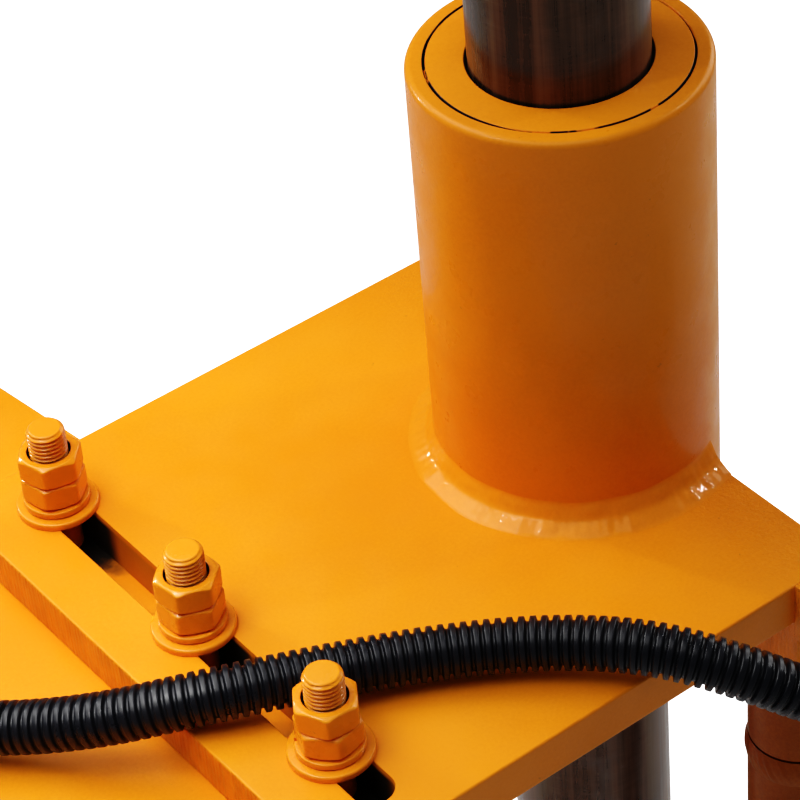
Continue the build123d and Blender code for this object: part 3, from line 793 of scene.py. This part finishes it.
def conduitGroup():
    # Rings of equal pitch swept along the spline, by changing the sweep's radius along its length
    group = bpy.data.node_groups.new("corrugated conduit", "GeometryNodeTree")
    group.interface.new_socket(name="Geometry", in_out="INPUT", socket_type="NodeSocketGeometry")
    group.interface.new_socket(name="Geometry", in_out="OUTPUT", socket_type="NodeSocketGeometry")
    for label in ("Radius", "Depth", "Pitch", "Step", "Ridge share"):
        group.interface.new_socket(name=label, in_out="INPUT", socket_type="NodeSocketFloat")
    group.interface.new_socket(name="Material", in_out="INPUT", socket_type="NodeSocketMaterial")
    given = group.nodes.new("NodeGroupInput")
    sampled = group.nodes.new("GeometryNodeResampleCurve")
    sampled.mode = "LENGTH"
    group.links.new(given.outputs["Geometry"], sampled.inputs["Curve"])
    group.links.new(given.outputs["Step"], sampled.inputs["Length"])
    along = group.nodes.new("GeometryNodeSplineParameter").outputs["Length"]
    cycle = calc(group, "FRACT", calc(group, "DIVIDE", along, given.outputs["Pitch"]))
    fromMiddle = calc(group, "ABSOLUTE", calc(group, "SUBTRACT", cycle, 0.5))
    edge = calc(group, "MULTIPLY", given.outputs["Ridge share"], 0.5)
    ridge = ramp(group, fromMiddle, calc(group, "ADD", edge, 0.07), calc(group, "SUBTRACT", edge, 0.07))
    crown = calc(group, "MULTIPLY", calc(group, "POWER", fromMiddle, 2.0), 0.0004)
    size = calc(group, "SUBTRACT", given.outputs["Radius"],
                calc(group, "MULTIPLY", given.outputs["Depth"], calc(group, "SUBTRACT", 1.0, ridge)))
    size = calc(group, "SUBTRACT", size, crown)
    sized = group.nodes.new("GeometryNodeSetCurveRadius")
    group.links.new(sampled.outputs[0], sized.inputs["Curve"])
    group.links.new(size, sized.inputs["Radius"])
    circle = group.nodes.new("GeometryNodeCurvePrimitiveCircle")
    circle.inputs["Resolution"].default_value = 48
    circle.inputs["Radius"].default_value = 1.0
    swept = group.nodes.new("GeometryNodeCurveToMesh")
    group.links.new(sized.outputs[0], swept.inputs["Curve"])
    group.links.new(circle.outputs[0], swept.inputs["Profile Curve"])
    if "Scale" in swept.inputs:
        radiusField = group.nodes.new("GeometryNodeInputRadius")
        group.links.new(radiusField.outputs[0], swept.inputs["Scale"])
    swept.inputs["Fill Caps"].default_value = True
    finishGroup(group, given, swept.outputs[0])
    return group


print("conduit")
conduitSet = {"Radius": 0.0106, "Depth": 0.0019, "Pitch": 0.00432, "Step": 0.00030, "Ridge share": 0.60}
conduitRoute = [
    (-0.300, 0.045, deckZ - 0.0055), (-0.2755, 0.0195, deckZ - 0.0055), (-0.247, -0.013, deckZ + 0.0045),
    (-0.215, -0.0385, deckZ + 0.015), (-0.173, -0.0563, deckZ + 0.0136), (-0.1325, -0.076, deckZ + 0.0124),
    (-0.097, -0.1015, deckZ + 0.0134), (-0.072, -0.131, deckZ + 0.0155), (-0.051, -0.1565, deckZ + 0.0075),
    (-0.0285, -0.175, deckZ - 0.009), (-0.004, -0.187, deckZ - 0.021), (0.021, -0.192, deckZ - 0.0255),
    (0.044, -0.192, deckZ - 0.0255)]
line = bpy.data.curves.new("conduitLine", "CURVE")
line.dimensions = "3D"
line.resolution_u = 24
spline = line.splines.new("NURBS")
spline.points.add(len(conduitRoute) - 1)
for point, place in zip(spline.points, conduitRoute):
    point.co = (*place, 1.0)
spline.order_u = 3
spline.use_endpoint_u = True
lineObject = makeObject("conduitLine", line)
graph = bpy.context.evaluated_depsgraph_get()
graph.update()
lineMesh = bpy.data.meshes.new_from_object(lineObject.evaluated_get(graph))
conduit = grown("conduit", conduitGroup(), conduitSet, conduitPlastic, Matrix(), lineObject, 70)
installed(conduit, "crosshead", conduitPlastic, ["conduit"])


def connectorShape(tree, given, angle, row):
    # A coupling ring with grip ribs between two plain barrels
    size, tall, ribs, ribDepth = given["Radius"], given["Length"], given["Ribs"], given["Rib depth"]
    start = clamp01(tree, row, 0.0, 0.04)
    side = clamp01(tree, row, 0.04, 0.96)
    end = clamp01(tree, row, 0.96, 1.0)
    height = calc(tree, "MULTIPLY", side, tall)
    middle = calc(tree, "MULTIPLY", clamp01(tree, height, 0.0136, 0.0146),
                  clamp01(tree, height, 0.0364, 0.0354))
    grip = calc(tree, "MULTIPLY_ADD", calc(tree, "COSINE", calc(tree, "MULTIPLY", angle, ribs)), 0.5, 0.5)
    back = clamp01(tree, height, 0.0095, 0.0085)
    body = calc(tree, "SUBTRACT", size, 0.0015)
    body = calc(tree, "ADD", body, calc(tree, "MULTIPLY", back, 0.001))
    ring = calc(tree, "SUBTRACT", 0.0015, calc(tree, "MULTIPLY", ribDepth, grip))
    body = calc(tree, "ADD", body, calc(tree, "MULTIPLY", middle, ring))
    radius = mixed(tree, start, 0.0085, body)
    radius = mixed(tree, end, radius, calc(tree, "SUBTRACT", size, 0.004))
    return radius, height


connectorSet = {"Radius": 0.014, "Length": 0.046, "Ribs": 20.0, "Rib depth": 0.0009}
startPoint, nextPoint = Vector(conduitRoute[0]), Vector(conduitRoute[1])
heading = (startPoint - nextPoint).normalized()
turnTo = heading.to_track_quat("Z", "Y").to_matrix().to_4x4()
connectorGroup = surfaceGroup("inline connector", connectorSet, 160, 100, connectorShape)
connector = grown("connector", connectorGroup, connectorSet, blackPlastic,
                  Matrix.Translation(startPoint) @ turnTo)
installed(connector, "crosshead", blackPlastic, ["inline_connector"])


print("coats on the remaining parts")
coat(platePaint, "crosshead_plate", "ram_block", "box_bracket")
coat(carrierPaint, "carrier_plate")
coat(ramAmberShaded, "ram_cap", "ram_barrel", "rod_eye")
coat(darkSteel, "ram_gland", "ram_piston", "rod_jam_nut")
coat(hardChrome, "ram_rod")
coat(sealRubber, "wiper_ring", "rod_wiper", "piston_seal_1", "piston_seal_2", "lid_gasket")
coat(zincSteel, "grease_nipple", "cap_port_fitting", "rod_port_fitting")
coat(zincSteel, "bracket_screw_1", "bracket_screw_2", "lid_screws")
coat(greyPlastic, "terminal_box", "terminal_lid")
coat(blackPlastic, "conduit_gland", "gland_locknut")
coat(contactBrass, "connector_insert")


print("floor, light and camera")
floorSet = {"size": 60.0, "level": -0.001, "colour": (0.90, 0.90, 0.90), "roughness": 0.8,
            "glow": 0.05, "backdrop": 1.1}
half = floorSet["size"] / 2
corners = [(x, y, floorSet["level"]) for x, y in ((-half, -half), (half, -half), (half, half), (-half, half))]
floorMesh = bpy.data.meshes.new("floor")
floorMesh.from_pydata(corners, [], [(0, 1, 2, 3)])
floor = makeObject("floor", floorMesh)
floorCoat, tree, shader = newMaterial("pale floor")
shade = noise(tree, objectSpot(tree), 1.5, 3.0, 0.5)
tree.links.new(blended(tree, shade, tuple(part * 0.98 for part in floorSet["colour"]), floorSet["colour"]),
               shader.inputs["Base Color"])
shader.inputs["Roughness"].default_value = floorSet["roughness"]
shader.inputs["Specular IOR Level"].default_value = 0.1
shader.inputs["Emission Color"].default_value = (1.0, 1.0, 1.0, 1.0)
seen = tree.nodes.new("ShaderNodeLightPath").outputs["Is Camera Ray"]
tree.links.new(ramp(tree, seen, 0.0, 1.0, floorSet["glow"], floorSet["backdrop"], False),
               shader.inputs["Emission Strength"])
floorMesh.materials.append(floorCoat)

world = bpy.data.worlds.new("studio")
bpy.context.scene.world = world
world.use_nodes = True
sky = world.node_tree.nodes["Background"]
skySet = {"colour": (0.90, 0.95, 1.0, 1.0), "light": 0.13, "backdrop": 1.15}
sky.inputs["Color"].default_value = skySet["colour"]
seen = world.node_tree.nodes.new("ShaderNodeLightPath").outputs["Is Camera Ray"]
world.node_tree.links.new(ramp(world.node_tree, seen, 0.0, 1.0, skySet["light"], skySet["backdrop"], False),
                          sky.inputs["Strength"])

target = Vector((-0.0432, 0.0638, deckZ))


def away(item):
    # bearing 0 stands in front of the part, at -Y, and 90 at its right, at +X
    bearing, rise = math.radians(item["bearing"]), math.radians(item["elevation"])
    return Vector((math.sin(bearing) * math.cos(rise), -math.cos(bearing) * math.cos(rise), math.sin(rise)))


def addLamp(name, kind, item):
    lamp = bpy.data.lights.new(name, kind)
    lamp.energy = item["power"]
    lamp.color = item["colour"]
    lampObject = bpy.data.objects.new(name, lamp)
    lampObject.location = target + away(item) * item["distance"]
    aim = Vector(item.get("aim", target)) - lampObject.location
    lampObject.rotation_mode = "QUATERNION"
    lampObject.rotation_quaternion = aim.to_track_quat("-Z", "Y")
    bpy.context.scene.collection.objects.link(lampObject)
    return lamp


warmWhite, softWhite, plainWhite = (1.0, 0.985, 0.96), (1.0, 0.99, 0.97), (1.0, 1.0, 1.0)
keySet = {"bearing": 207.0, "elevation": 48.0, "distance": 3.0, "spread": 30.0, "power": 0.3,
          "colour": warmWhite}
addLamp("key", "SUN", keySet).angle = math.radians(keySet["spread"])
# The near and left boxes light the plates, the strips give the weld its thin highlights
boxSet = {
    "near box": {"bearing": 232.0, "elevation": 54.0, "distance": 0.43, "size": (0.42, 0.42), "power": 0.46,
                 "aim": (-0.19, 0.13, deckZ), "spread": 95.0, "colour": warmWhite},
    "left box": {"bearing": 285.0, "elevation": 42.0, "distance": 0.55, "size": (0.25, 0.25), "power": 0.13,
                 "aim": (-0.30, -0.03, deckZ), "spread": 60.0, "colour": warmWhite},
    "left strip": {"bearing": 204.0, "elevation": 24.0, "distance": 1.6, "size": (0.05, 0.40), "power": 3.4,
                   "spread": 160.0, "colour": plainWhite},
    "right strip": {"bearing": 66.0, "elevation": 42.0, "distance": 1.6, "size": (0.02, 0.40), "power": 1.6,
                    "spread": 160.0, "colour": plainWhite},
    "top strip": {"bearing": 262.0, "elevation": 60.0, "distance": 1.6, "size": (0.02, 0.30), "power": 1.2,
                  "spread": 160.0, "colour": plainWhite},
    "top box": {"bearing": 320.0, "elevation": 70.0, "distance": 0.9, "size": (0.6, 0.6), "power": 0.9,
                "spread": 160.0, "colour": softWhite},
    "side box": {"bearing": 95.0, "elevation": 24.0, "distance": 2.0, "size": (1.0, 1.4), "power": 7.0,
                 "spread": 160.0, "colour": softWhite},
}
for name, item in boxSet.items():
    lamp = addLamp(name, "AREA", item)
    lamp.shape = "RECTANGLE"
    lamp.size, lamp.size_y = item["size"]
    lamp.spread = math.radians(item["spread"])

cameraSet = {"bearing": -34.43, "elevation": 39.57, "roll": -5.24, "distance": 1.3589, "lens": 145.5}
back = away(cameraSet)
camera = bpy.data.cameras.new("camera")
camera.lens = cameraSet["lens"]
camera.sensor_width = 36.0
camera.clip_start, camera.clip_end = 0.05, 30.0
cameraObject = bpy.data.objects.new("camera", camera)
roll = Matrix.Rotation(math.radians(cameraSet["roll"]), 3, "Z")
facing = (-back).to_track_quat("-Z", "Y").to_matrix() @ roll
cameraObject.matrix_world = Matrix.Translation(target + back * cameraSet["distance"]) @ facing.to_4x4()
bpy.context.scene.collection.objects.link(cameraObject)
bpy.context.scene.camera = cameraObject

# A print-like contrast: the darkest tones are pulled down and the middle ones lifted
look = bpy.context.scene.view_settings
look.view_transform = "Standard"
look.use_curve_mapping = True
toneCurve = look.curve_mapping.curves[3]
for tone, shown in ((0.036, 0.014), (0.066, 0.045), (0.11, 0.095), (0.20, 0.24), (0.33, 0.42), (0.61, 0.74)):
    toneCurve.points.new(tone, shown)
look.curve_mapping.update()

print("done")
